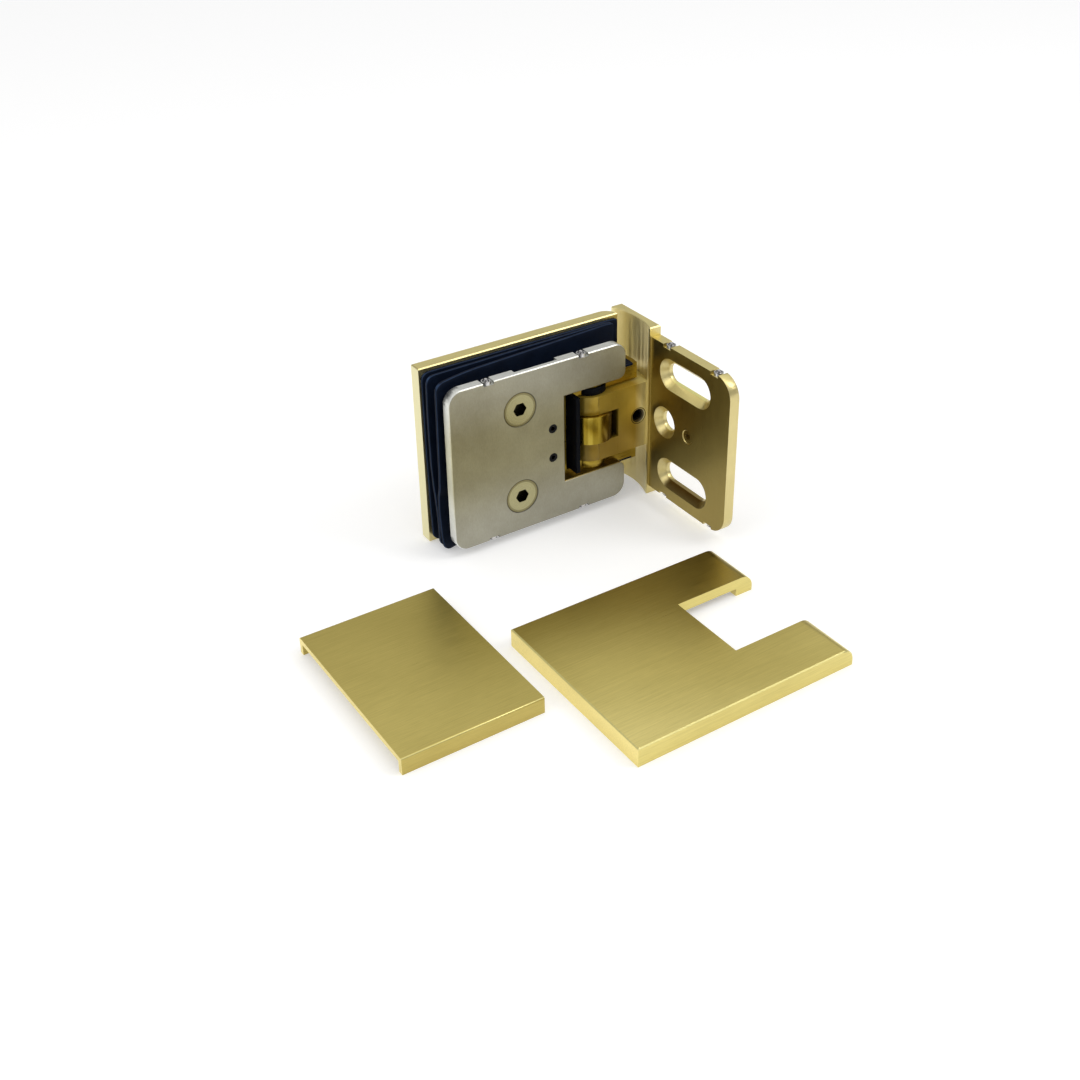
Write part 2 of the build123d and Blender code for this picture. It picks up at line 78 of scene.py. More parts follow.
# Studio: the floor's tone and glow, the room's tone by height, and the lamps' place, width and power
floor_gap = 0.00001
floor_size = 24.0
floor_tone = 0.8
floor_rough = 0.9
floor_shine = 0.1
floor_glow = 0.33
room_stops = (
    (0.0, 0.92),
    (0.13, 0.86),
    (0.22, 0.16),
    (0.29, 0.16),
    (0.40, 0.46),
    (0.53, 0.74),
    (1.0, 0.84),
)
lamp_aim = Vector((-0.05, 0.0, 0.0))
softboxes = (
    ("softbox_left", Vector((-1.3, -0.1, 0.9)), 0.9, 3.2),
    ("softbox_above", Vector((0.1, -0.3, 1.3)), 0.8, 1.8),
    ("softbox_right", Vector((0.73, -0.74, 1.08)), 0.5, 4.0),
)


def set_camera():
    view = bpy.data.cameras.new("photo_camera")
    view.sensor_width = camera_sensor
    view.lens = camera_lens
    view.shift_x, view.shift_y = camera_shift
    view.clip_start = camera_near
    camera = bpy.data.objects.new("photo_camera", view)
    turn = Matrix.Rotation(camera_turn, 4, "Z")
    tip = Matrix.Rotation(camera_tip, 4, "X")
    roll = Matrix.Rotation(camera_roll, 4, "Z")
    camera.matrix_world = Matrix.Translation(camera_place) @ turn @ tip @ roll
    scene.collection.objects.link(camera)
    scene.camera = camera


set_camera()


# Shader nodes: one call per node, with its inputs by name
def feed(tree, slot, value):
    if isinstance(value, bpy.types.NodeSocket):
        tree.links.new(value, slot)
    else:
        slot.default_value = value


def shade(tree, kind, at, **values):
    made = tree.nodes.new(kind)
    made.location = at
    for name, value in values.items():
        feed(tree, made.inputs[name.replace("_", " ")], value)
    return made


def reckon(tree, at, operation, *values):
    made = shade(tree, "ShaderNodeMath", at)
    made.operation = operation
    for slot, value in zip(made.inputs, values):
        feed(tree, slot, value)
    return made.outputs[0]


def reckon_vector(tree, at, operation, *values):
    made = shade(tree, "ShaderNodeVectorMath", at)
    made.operation = operation
    for slot, value in zip(made.inputs, values):
        feed(tree, slot, value)
    return made.outputs["Value" if operation in ("DOT_PRODUCT", "LENGTH") else "Vector"]


def place_in(tree, at=(-900, 300)):
    return shade(tree, "ShaderNodeTexCoord", at).outputs["Object"]


def normal_in(tree, at=(-900, 300)):
    return shade(tree, "ShaderNodeTexCoord", at).outputs["Normal"]


def new_group(name, takes, gives):
    group = bpy.data.node_groups.new(name, "ShaderNodeTree")
    for label, kind, value in takes:
        socket = group.interface.new_socket(name=label, in_out="INPUT", socket_type=kind)
        socket.default_value = value
    for label in gives:
        group.interface.new_socket(name=label, in_out="OUTPUT", socket_type="NodeSocketFloat")
    start = group.nodes.new("NodeGroupInput")
    start.location = (-900, 0)
    end = group.nodes.new("NodeGroupOutput")
    end.location = (900, 0)
    return group, start.outputs, end.inputs


# Where a noise is read as nought and as one, and how the finishes are worn
noise_low = 0.3
noise_high = 0.7
scratch_fine = 9000.0
scratch_coarse = 2200.0
ring_scale = 5200.0
pore_scale = 3500.0
scratch_relief = 0.15
scratch_height = 0.02 * mm
pore_height = 0.03 * mm
mark_size = 45.0
black_mark_size = 160.0
mark_roughness = 0.05
dull_metallic = 0.55


# Brushed grain: fine and coarse scratches along one axis
def make_grain():
    group, takes, gives = new_group(
        "brushed_grain",
        [("Stretch", "NodeSocketVector", (1.0, 1.0, 1.0)), ("Depth", "NodeSocketFloat", 1.0)],
        ["Scratch", "Height"],
    )
    run = reckon_vector(group, (-700, 200), "MULTIPLY", place_in(group), takes["Stretch"])
    fine = shade(group, "ShaderNodeTexNoise", (-450, 300), Vector=run, Scale=scratch_fine, Detail=3.0)
    coarse = shade(group, "ShaderNodeTexNoise", (-450, 0), Vector=run, Scale=scratch_coarse, Detail=4.0)
    mix = shade(
        group, "ShaderNodeMix", (-200, 200), Factor=0.5, A=fine.outputs["Fac"], B=coarse.outputs["Fac"]
    )
    scratch = mix.outputs["Result"]
    height = reckon(group, (200, -100), "MULTIPLY", scratch, takes["Depth"])
    group.links.new(scratch, gives["Scratch"])
    group.links.new(height, gives["Height"])
    return group


grain = make_grain()


# Handling marks: soft clouds that dull or brighten a finish a little
def make_marks():
    group, takes, gives = new_group("handling_marks", [("Size", "NodeSocketFloat", 60.0)], ["Mask"])
    cloud = shade(
        group,
        "ShaderNodeTexNoise",
        (-500, 200),
        Vector=place_in(group),
        Scale=takes["Size"],
        Detail=4.0,
        Roughness=0.6,
    )
    span = shade(
        group,
        "ShaderNodeMapRange",
        (-100, 200),
        Value=cloud.outputs["Fac"],
        From_Min=noise_low,
        From_Max=noise_high,
    )
    group.links.new(span.outputs[0], gives["Mask"])
    return group


marks = make_marks()


def place_group(tree, group, at, **values):
    made = shade(tree, "ShaderNodeGroup", at)
    made.node_tree = group
    for name, value in values.items():
        made.inputs[name].default_value = value
    return made


def new_finish(name):
    material = bpy.data.materials.new(name)
    material.use_nodes = True
    tree = material.node_tree
    return material, tree, tree.nodes["Principled BSDF"]


def blend_colours(tree, at, factor, first, second, how="MIX"):
    mix = tree.nodes.new("ShaderNodeMix")
    mix.data_type = "RGBA"
    mix.blend_type = how
    mix.location = at
    tree.links.new(factor, mix.inputs[0])
    for slot, colour in ((mix.inputs[6], first), (mix.inputs[7], second)):
        feed(tree, slot, colour if isinstance(colour, bpy.types.NodeSocket) else (*colour, 1.0))
    return mix.outputs[2]


def span_noise(tree, at, value, ends):
    span = shade(
        tree,
        "ShaderNodeMapRange",
        at,
        Value=value,
        From_Min=noise_low,
        From_Max=noise_high,
        To_Min=ends[0],
        To_Max=ends[1],
    )
    return span.outputs[0]


# Facing: how far a face looks along an axis, either way
def make_facing():
    group, takes, gives = new_group(
        "facing",
        [
            ("Axis", "NodeSocketVector", (1.0, 0.0, 0.0)),
            ("Start", "NodeSocketFloat", 0.75),
            ("End", "NodeSocketFloat", 0.95),
        ],
        ["Mask"],
    )
    along = reckon_vector(group, (-600, 200), "DOT_PRODUCT", normal_in(group), takes["Axis"])
    size = reckon(group, (-400, 200), "ABSOLUTE", along)
    span = shade(
        group, "ShaderNodeMapRange", (-100, 200), Value=size, From_Min=takes["Start"], From_Max=takes["End"]
    )
    group.links.new(span.outputs[0], gives["Mask"])
    return group


facing = make_facing()


# Broken edge: the narrow slanted faces between the flats
def make_broken_edge():
    group, takes, gives = new_group(
        "broken_edge",
        [("Slanted", "NodeSocketFloat", 0.80), ("Flat", "NodeSocketFloat", 0.93)],
        ["Mask"],
    )
    parts = shade(group, "ShaderNodeSeparateXYZ", (-750, 200), Vector=normal_in(group))
    most = None
    for row, side in enumerate("XYZ"):
        size = reckon(group, (-600, 300 - 150 * row), "ABSOLUTE", parts.outputs[side])
        most = size if most is None else reckon(group, (-400, 350 - 150 * row), "MAXIMUM", most, size)
    span = shade(
        group,
        "ShaderNodeMapRange",
        (-100, 200),
        Value=most,
        From_Min=takes["Slanted"],
        From_Max=takes["Flat"],
        To_Min=1.0,
        To_Max=0.0,
    )
    group.links.new(span.outputs[0], gives["Mask"])
    return group


broken_edge = make_broken_edge()


# Passage: nought before one place along an axis, one after another
def make_passage():
    group, takes, gives = new_group(
        "passage",
        [
            ("Axis", "NodeSocketVector", (0.0, 0.0, 1.0)),
            ("Start", "NodeSocketFloat", 0.0),
            ("End", "NodeSocketFloat", 1.0),
        ],
        ["Mask"],
    )
    along = reckon_vector(group, (-600, 200), "DOT_PRODUCT", place_in(group), takes["Axis"])
    span = shade(
        group, "ShaderNodeMapRange", (-200, 200), Value=along, From_Min=takes["Start"], From_Max=takes["End"]
    )
    span.interpolation_type = "SMOOTHSTEP"
    group.links.new(span.outputs[0], gives["Mask"])
    return group


passage = make_passage()


# Outside of: nought near a line through a point and its mirrored places, one further off
def make_outside():
    group, takes, gives = new_group(
        "outside_of",
        [
            ("Centre", "NodeSocketVector", (0.0, 0.0, 0.0)),
            ("Across", "NodeSocketVector", (1.0, 0.0, 1.0)),
            ("Start", "NodeSocketFloat", 0.0),
            ("End", "NodeSocketFloat", 1.0),
        ],
        ["Mask"],
    )
    fold = reckon_vector(group, (-750, 200), "ABSOLUTE", place_in(group))
    shift = reckon_vector(group, (-600, 200), "SUBTRACT", fold, takes["Centre"])
    flat = reckon_vector(group, (-450, 200), "MULTIPLY", shift, takes["Across"])
    reach = reckon_vector(group, (-300, 200), "LENGTH", flat)
    span = shade(
        group, "ShaderNodeMapRange", (-100, 200), Value=reach, From_Min=takes["Start"], From_Max=takes["End"]
    )
    group.links.new(span.outputs[0], gives["Mask"])
    return group


outside_of = make_outside()


# Where several masks hold at once
def all_of(tree, at, tests):
    held = None
    for column, (group, values) in enumerate(tests):
        spot = (at[0] + 180 * column, at[1])
        mask = place_group(tree, group, spot, **values).outputs["Mask"]
        held = mask if held is None else reckon(tree, (at[0] + 600, at[1]), "MULTIPLY", held, mask)
    return held


def tint_zones(tree, colour, zones):
    for row, (tint, tests) in enumerate(zones):
        mask = all_of(tree, (-1500, -600 - 260 * row), tests)
        colour = blend_colours(tree, (-400 + 160 * row, 500), mask, colour, tint, "MULTIPLY")
    return colour


# Metal with a brushed grain along one axis
def brushed_metal(name, dark, light, stretch, rough, depth, zones=(), dull=()):
    material, tree, surface = new_finish(name)
    lines = place_group(tree, grain, (-900, 200), Stretch=stretch, Depth=depth)
    scratch = lines.outputs["Scratch"]
    cloud = place_group(tree, marks, (-900, -200), Size=mark_size)
    colour = blend_colours(tree, (-500, 300), scratch, dark, light)
    tree.links.new(tint_zones(tree, colour, zones), surface.inputs["Base Color"])
    base = span_noise(tree, (-600, 0), scratch, rough)
    worn = reckon(tree, (-300, 0), "MULTIPLY_ADD", cloud.outputs["Mask"], mark_roughness, base)
    tree.links.new(worn, surface.inputs["Roughness"])
    relief = shade(tree, "ShaderNodeBump", (-300, -300), Strength=scratch_relief, Distance=scratch_height)
    tree.links.new(lines.outputs["Height"], relief.inputs["Height"])
    tree.links.new(relief.outputs[0], surface.inputs["Normal"])
    surface.inputs["Metallic"].default_value = 1.0
    if dull:
        mask = all_of(tree, (-1500, -2400), dull)
        level = shade(tree, "ShaderNodeMapRange", (-300, -600), Value=mask, To_Min=1.0, To_Max=dull_metallic)
        tree.links.new(level.outputs[0], surface.inputs["Metallic"])
    return material


# Metal with turning rings round a line through a point and its mirrored places
def turned_metal(name, dark, light, centre, across, rough, zones=()):
    material, tree, surface = new_finish(name)
    fold = reckon_vector(tree, (-1300, 0), "ABSOLUTE", place_in(tree, (-1500, 0)))
    shift = reckon_vector(tree, (-1100, 0), "SUBTRACT", fold, centre)
    flat = reckon_vector(tree, (-900, 0), "MULTIPLY", shift, across)
    radius = reckon_vector(tree, (-700, 0), "LENGTH", flat)
    rings = shade(tree, "ShaderNodeTexNoise", (-500, 0), Scale=ring_scale, Detail=3.0)
    rings.noise_dimensions = "1D"
    tree.links.new(radius, rings.inputs["W"])
    ring = rings.outputs["Fac"]
    colour = blend_colours(tree, (-250, 250), ring, dark, light)
    tree.links.new(tint_zones(tree, colour, zones), surface.inputs["Base Color"])
    tree.links.new(span_noise(tree, (-250, 0), ring, rough), surface.inputs["Roughness"])
    relief = shade(tree, "ShaderNodeBump", (-250, -300), Strength=scratch_relief, Distance=scratch_height)
    tree.links.new(ring, relief.inputs["Height"])
    tree.links.new(relief.outputs[0], surface.inputs["Normal"])
    surface.inputs["Metallic"].default_value = 1.0
    return material


# Dull black: rubber, plastic and blackened screws
def black_finish(name, dark, light, rough, metallic, relief, shine, zones=()):
    material, tree, surface = new_finish(name)
    cloud = place_group(tree, marks, (-900, 100), Size=black_mark_size)
    place = place_in(tree, (-900, -300))
    pores = shade(tree, "ShaderNodeTexNoise", (-600, -300), Vector=place, Scale=pore_scale, Detail=3.0)
    pore = pores.outputs["Fac"]
    colour = blend_colours(tree, (-500, 300), cloud.outputs["Mask"], dark, light)
    tree.links.new(tint_zones(tree, colour, zones), surface.inputs["Base Color"])
    tree.links.new(span_noise(tree, (-500, 0), pore, rough), surface.inputs["Roughness"])
    bump = shade(tree, "ShaderNodeBump", (-300, -300), Strength=relief, Distance=pore_height)
    tree.links.new(pore, bump.inputs["Height"])
    tree.links.new(bump.outputs[0], surface.inputs["Normal"])
    surface.inputs["Metallic"].default_value = metallic
    surface.inputs["Specular IOR Level"].default_value = shine
    return material


# Tests of a face: the way it looks
toward_x = (facing, {"Axis": (1.0, 0.0, 0.0)})
toward_y = (facing, {"Axis": (0.0, 1.0, 0.0)})
toward_z = (facing, {"Axis": (0.0, 0.0, 1.0)})
up_and_out = (facing, {"Axis": (-0.38, 0.0, 0.92)})
on_edges = (broken_edge, {"Slanted": 0.80, "Flat": 0.93})


# Tests of a place, in millimetres: each rises from nought at its first value to one at its second
def past(axis, start, end):
    return (passage, {"Axis": axis, "Start": start * mm, "End": end * mm})


def right_of(start, end):
    return past((1, 0, 0), start, end)


def left_of(start, end):
    return past((-1, 0, 0), -start, -end)


def behind(start, end):
    return past((0, 1, 0), start, end)


def before(start, end):
    return past((0, -1, 0), -start, -end)


def above(start, end):
    return past((0, 0, 1), start, end)


def below(start, end):
    return past((0, 0, -1), -start, -end)


def near_middle(full, gone):
    return [above(-gone, -full), below(gone, full)]


# A first value over the second is a test for nearer to the line
def off_line(centre, across, start, end):
    where = tuple(value * mm for value in centre)
    return (outside_of, {"Centre": where, "Across": across, "Start": start * mm, "End": end * mm})


# Round places, in millimetres, and the planes that they are round in
round_x = (0.0, 1.0, 1.0)
round_y = (1.0, 0.0, 1.0)
head_place = (76.9, 0.0, 22.6)
set_screw_place = (11.2, 0.0, 0.0)
plug_place = (0.0, 17.6, 0.0)

# Parts of the pieces, in millimetres
on_arm = [left_of(-8.0, -14.0), *near_middle(16.8, 18.5)]
on_plate = [right_of(-9.0, -7.0), before(11.2, 10.8)]
in_cove = [left_of(-5.5, -6.5), behind(11.2, 12.2)]
in_window = [left_of(-22.0, -23.2), behind(13.2, 14.5), *near_middle(7.3, 7.6)]
on_lips = [up_and_out, right_of(-8.2, -7.9)]
at_set_screw = [before(16.0, 15.0), behind(11.0, 11.5), left_of(-6.0, -6.4)]
steel_rims = behind(12.95, 13.15)
on_leaf_cover = right_of(-131.0, -129.0)
on_wall_cover = left_of(-129.0, -131.0)

# Colours of the metals, each from its scratches' dark to their light
brass_tones = {"dark": (0.60, 0.50, 0.21), "light": (0.82, 0.71, 0.36)}
cover_tones = {"dark": (0.45, 0.37, 0.100), "light": (0.88, 0.735, 0.250)}
gold_tones = {"dark": (0.30, 0.205, 0.020), "light": (0.48, 0.355, 0.070)}
cam_tones = {"dark": (0.25, 0.17, 0.014), "light": (0.37, 0.265, 0.036)}
head_tones = {"dark": (0.34, 0.31, 0.155), "light": (0.46, 0.43, 0.25)}
plate_tones = {"dark": (0.235, 0.218, 0.130), "light": (0.46, 0.43, 0.285)}
steel_tones = {"dark": (0.50, 0.49, 0.48), "light": (0.72, 0.71, 0.70)}

# Colours of the blacks, each from its dull marks to its bright ones
rubber_tones = {"dark": (0.0026, 0.0058, 0.0160), "light": (0.0046, 0.0100, 0.0260)}
plastic_tones = {"dark": (0.0018, 0.0024, 0.004), "light": (0.0035, 0.0045, 0.0075)}
screw_tones = {"dark": (0.008, 0.008, 0.009), "light": (0.03, 0.03, 0.032)}

# Scratches drawn out upwards, lengthwise, or hardly at all
grain_up = (1.0, 1.0, 0.02)
grain_cam = (1.0, 1.0, 0.01)
grain_along = (0.02, 1.0, 1.0)
grain_body = (0.05, 1.0, 1.0)
grain_satin = (1.0, 1.0, 0.35)
grain_even = (1.0, 1.0, 1.0)

# Tint and place of each lighter or darker zone of the bracket: painted highlight and painted shade as the
# room lights and shades it, and random marks
bracket_zones = [
    # painted highlight on upward faces and in the cove, painted shade on the cove's slanted edges and on the
    # plate's face
    ((1.28, 1.30, 1.20), [toward_z]),
    ((1.10, 1.10, 1.05), in_cove),
    ((1.12, 1.18, 1.40), [*in_cove, toward_x]),
    ((0.66, 0.68, 0.74), [*in_cove, on_edges]),
    ((0.50, 0.45, 0.28), [toward_x, *on_plate]),
    ((0.90, 0.90, 0.88), [toward_x, *on_plate, above(-36.0, -8.0)]),
    ((0.84, 0.83, 0.80), [(marks, {"Size": 30.0})]),
    # the arm's deeper gold, lighter towards the plate and darker towards the bottom
    ((0.54, 0.43, 0.115), on_arm),
    ((1.36, 1.36, 1.40), [*on_arm, right_of(-26.0, -14.0)]),
    ((0.74, 0.70, 0.60), [*on_arm, below(4.0, -8.0)]),
    # painted shade inside the window
    ((0.10, 0.08, 0.06), in_window),
    # lower lips of the lower and the upper slot: painted shade on the lower one, painted highlight on the
    # upper one
    ((0.26, 0.20, 0.12), [*on_lips, below(-28.0, -30.0), above(-38.0, -36.0)]),
    ((1.30, 1.28, 1.10), [*on_lips, above(17.0, 18.0), below(26.0, 24.0)]),
    # painted shade on the ring and bore of the arm's set screw, then on the rim of the plug screw
    (
        (0.10, 0.09, 0.09),
        [
            *at_set_screw,
            off_line(set_screw_place, round_y, 4.35, 4.25),
            off_line(set_screw_place, round_y, 3.85, 3.95),
        ],
    ),
    ((0.16, 0.14, 0.12), [*at_set_screw, off_line(set_screw_place, round_y, 3.50, 3.40)]),
    ((0.86, 0.82, 0.70), [*on_plate, off_line(plug_place, round_x, 4.2, 4.0)]),
]
# Painted highlight on the back plate's left and upward faces
back_zones = [((1.10, 1.20, 1.50), [toward_x]), ((1.20, 1.22, 1.10), [toward_z])]
# Painted reflection on the covers' left walls, painted highlight on the leaf cover's front faces and on the
# broken edges, painted shade on the wall cover's front faces, and random marks
cover_zones = [
    ((1.40, 1.43, 1.75), [toward_x]),
    ((1.12, 1.15, 1.30), [toward_y, on_leaf_cover]),
    ((0.84, 0.82, 0.80), [toward_y, on_wall_cover]),
    ((1.25, 1.35, 1.8), [on_edges]),
    ((0.86, 0.85, 0.80), [(marks, {"Size": 16.0})]),
    # painted shade on the leaf cover's far prong and painted highlight on its near corner, then painted
    # shade on the wall cover's far corner
    ((0.52, 0.47, 0.34), [toward_z, past((0.35, 1.0, 0.0), -150.0, -84.0), on_leaf_cover]),
    ((1.28, 1.32, 1.55), [toward_z, past((-0.5, -0.86, 0.0), 138.0, 186.0), on_leaf_cover]),
    ((0.80, 0.78, 0.70), [toward_z, past((0.5, 1.0, 0.0), -190.0, -90.0), on_wall_cover]),
]
# One painted highlight band up the cam, then two steps of painted shade
cam_turn = (0.87, -0.5, 0.0)
cam_back = (-0.87, 0.5, 0.0)
cam_zones = [
    ((1.55, 1.65, 2.2), [past(cam_turn, -41.9, -40.9), past(cam_back, 38.6, 39.6)]),
    ((0.62, 0.56, 0.5), [past(cam_turn, -36.6, -33.6)]),
    ((0.55, 0.5, 0.45), [past(cam_turn, -32.6, -30.6)]),
]
# Painted shade in the socket, in the gap about the head and on the head's slanted rim
head_zones = [
    ((0.10, 0.10, 0.11), [off_line(head_place, round_y, 3.6, 3.5), behind(13.2, 13.5)]),
    ((0.30, 0.28, 0.25), [off_line(head_place, round_y, 8.05, 8.2)]),
    ((0.62, 0.60, 0.56), [off_line(head_place, round_y, 7.1, 7.3)]),
]
plate_zones = [
    ((0.76, 0.75, 0.72), [(marks, {"Size": 38.0})]),
    ((1.13, 1.17, 1.48), [below(0.0, -34.0)]),
    ((1.16, 1.20, 1.50), [above(12.0, 36.0)]),
    # painted highlight on the bright rims, painted brass-coloured reflection on the walls of the arm's
    # notch, and painted shade in the gap about each screw head
    ((2.1, 2.2, 2.6), [steel_rims, above(-40.4, -39.6)]),
    ((0.34, 0.25, 0.09), [right_of(-53.6, -53.3), *near_middle(22.7, 22.9), steel_rims]),
    ((0.35, 0.34, 0.32), [off_line(head_place, round_y, 8.75, 8.55)]),
]
# Painted dark reflection on the slanted edge faces of the bright steel pieces
steel_zones = [((0.28, 0.28, 0.29), [on_edges])]
# Lighter edge faces on the rubber: partly the grey of the cut rubber, partly painted highlight
rubber_zones = [((6.0, 5.5, 4.5), [on_edges])]

finishes = {
    "brass_upright": brushed_metal(
        "brushed_brass_upright",
        **brass_tones,
        stretch=grain_up,
        rough=(0.24, 0.40),
        depth=1.0,
        zones=bracket_zones,
        dull=[*in_cove, before(40.0, 39.0)],
    ),
    "brass_back": brushed_metal(
        "brushed_brass_back",
        **brass_tones,
        stretch=grain_along,
        rough=(0.24, 0.40),
        depth=1.0,
        zones=back_zones,
    ),
    "brass_lying": brushed_metal(
        "brushed_brass_lying",
        **cover_tones,
        stretch=grain_along,
        rough=(0.26, 0.38),
        depth=1.0,
        zones=cover_zones,
    ),
    "brass_body": brushed_metal(
        "machined_brass_body", **gold_tones, stretch=grain_body, rough=(0.22, 0.36), depth=0.8
    ),
    "cam": brushed_metal(
        "turned_brass_cam", **cam_tones, stretch=grain_cam, rough=(0.16, 0.24), depth=0.3, zones=cam_zones
    ),
    "screw_heads": turned_metal(
        "turned_pale_brass",
        **head_tones,
        centre=tuple(value * mm for value in head_place),
        across=round_y,
        rough=(0.22, 0.38),
        zones=head_zones,
    ),
    "steel_plate": brushed_metal(
        "satin_steel_plate",
        **plate_tones,
        stretch=grain_satin,
        rough=(0.30, 0.48),
        depth=0.5,
        zones=plate_zones,
    ),
    "bright_steel": brushed_metal(
        "bright_steel", **steel_tones, stretch=grain_even, rough=(0.12, 0.22), depth=0.2, zones=steel_zones
    ),
    "rubber": black_finish(
        "black_rubber",
        **rubber_tones,
        rough=(0.50, 0.65),
        metallic=0.0,
        relief=0.2,
        shine=0.12,
        zones=rubber_zones,
    ),
    "plastic": black_finish(
        "black_plastic", **plastic_tones, rough=(0.42, 0.56), metallic=0.0, relief=0.15, shine=0.06
    ),
    "black_screws": black_finish(
        "blackened_steel", **screw_tones, rough=(0.35, 0.5), metallic=1.0, relief=0.1, shine=0.5
    ),
}

finish_of = {
    "wall_bracket": "brass_upright",
    "back_plate": "brass_back",
    "leaf_cover": "brass_lying",
    "wall_cover": "brass_lying",
    "hinge_body": "brass_body",
    "wall_plug_screw": "brass_upright",
    "bush_lower": "brass_body",
    "cam_sleeve": "cam",
    "clamp_plate": "steel_plate",
    "bush_upper": "plastic",
    "pusher_pad": "plastic",
}
for name in nodes:
    if name.startswith(("gasket", "body_seal")):
        finish_of[name] = "rubber"
    elif name.startswith("clamp_screw"):
        finish_of[name] = "screw_heads"
    elif name.startswith(("small_screw", "arm_set_screw", "bore_plug")):
        finish_of[name] = "black_screws"
    elif name not in finish_of:
        finish_of[name] = "bright_steel"


# Each carried-over node gets its finish and softly broken edges
weld_reach = 0.002 * mm
edge_break = 0.12 * mm
edge_angle = math.radians(25)


def dress_node(name):
    node = nodes[name]
    node.data.materials.clear()
    node.data.materials.append(finishes[finish_of[name]])
    weld = node.modifiers.new("join_faces", "WELD")
    weld.merge_threshold = weld_reach
    bevel = node.modifiers.new("broken_edges", "BEVEL")
    bevel.limit_method = "ANGLE"
    bevel.angle_limit = edge_angle
    bevel.width = edge_break
    bevel.segments = 2
    bevel.harden_normals = True
    bevel.use_clamp_overlap = True


for name in nodes:
    dress_node(name)


# New pieces: the strokes that they share
def start_edit():
    bpy.ops.object.mode_set(mode="EDIT")
    bpy.ops.mesh.select_all(action="SELECT")


def end_edit():
    bpy.ops.mesh.select_all(action="SELECT")
    bpy.ops.mesh.normals_make_consistent(inside=False)
    bpy.ops.object.mode_set(mode="OBJECT")


def settle():
    bpy.ops.object.transform_apply(location=True, rotation=True, scale=True)


def settle_alone(piece):
    bpy.ops.object.select_all(action="DESELECT")
    piece.select_set(True)
    bpy.context.view_layer.objects.active = piece
    settle()


def break_rims(piece, width, angle):
    rim = piece.modifiers.new("rims", "BEVEL")
    rim.width = width
    rim.segments = 3
    rim.limit_method = "ANGLE"
    rim.angle_limit = math.radians(angle)
    bpy.ops.object.modifier_apply(modifier=rim.name)


def finish_piece(piece, finish, smooth_to):
    bpy.ops.object.shade_smooth_by_angle(angle=math.radians(smooth_to))
    piece.data.materials.append(finishes[finish])


def copy_piece(first):
    second = first.copy()
    second.data = first.data.copy()
    scene.collection.objects.link(second)
    return second


# Cam sleeve: a turned ring with two flats, its rims softly broken
cam_radius = 11.7 * mm
cam_bore = 4.6 * mm
cam_flat = 10.15 * mm
cam_rim = 0.25 * mm


def make_cam():
    low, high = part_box("cam_sleeve")
    foot = (pivot.x, pivot.y, low[2])
    grow = cam_radius / cam_bore
    bpy.ops.object.select_all(action="DESELECT")
    bpy.ops.mesh.primitive_circle_add(vertices=120, radius=cam_bore, location=foot)
    cam = bpy.context.object
    cam.name = "cam_ring"
    settle()
    start_edit()
    bpy.ops.mesh.extrude_edges_move()
    bpy.ops.transform.resize(value=(grow, grow, 1.0), center_override=foot)
    for side in (-1.0, 1.0):
        cut = (pivot.x + side * cam_flat, pivot.y, 0.0)
        bpy.ops.mesh.select_all(action="SELECT")
        bpy.ops.mesh.bisect(plane_co=cut, plane_no=(side, 0.0, 0.0), clear_outer=True)
    bpy.ops.mesh.select_all(action="SELECT")
    bpy.ops.mesh.extrude_region_move(TRANSFORM_OT_translate={"value": (0.0, 0.0, high[2] - low[2])})
    end_edit()
    break_rims(cam, cam_rim, 50)
    finish_piece(cam, "cam", 35)
    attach(cam, "wall_side")
    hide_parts("cam_sleeve")


make_cam()


# Plunger ball: a round nose on a short straight shank
ball_radius = 1.5 * mm
ball_shank = 1.0 * mm
ball_cut = 0.05 * mm


def make_ball():
    bpy.ops.object.select_all(action="DESELECT")
    bpy.ops.mesh.primitive_uv_sphere_add(segments=32, ring_count=16, radius=ball_radius)
    ball = bpy.context.object
    start_edit()
    bpy.ops.mesh.bisect(
        plane_co=(0.0, 0.0, -ball_cut), plane_no=(0.0, 0.0, 1.0), use_fill=False, clear_inner=True
    )
    bpy.ops.mesh.extrude_region_move(TRANSFORM_OT_translate={"value": (0.0, 0.0, ball_cut - ball_shank)})
    bpy.ops.mesh.edge_face_add()
    end_edit()
    finish_piece(ball, "bright_steel", 40)
    return ball


def place_balls(first):
    names = sorted(name for name in nodes if "_ball_" in name)
    balls = [first] + [copy_piece(first) for _ in names[1:]]
    for name, ball in zip(names, balls):
        low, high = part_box(name)
        upright = high[2] > 0.0
        seat = high[2] - ball_radius if upright else low[2] + ball_radius
        ball.name = name.replace("_ball_", "_round_ball_")
        ball.rotation_euler = (0.0 if upright else math.pi, 0.0, 0.0)
        ball.location = ((low[0] + high[0]) / 2, (low[1] + high[1]) / 2, seat)
        settle_alone(ball)
        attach(ball, name)
        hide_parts(name)


place_balls(make_ball())


# Pusher spring: a wound wire
spring_coil = 3.2 * mm
spring_wire = 0.55 * mm
spring_turns = 10
spring_steps = 24
wire_sides = 10


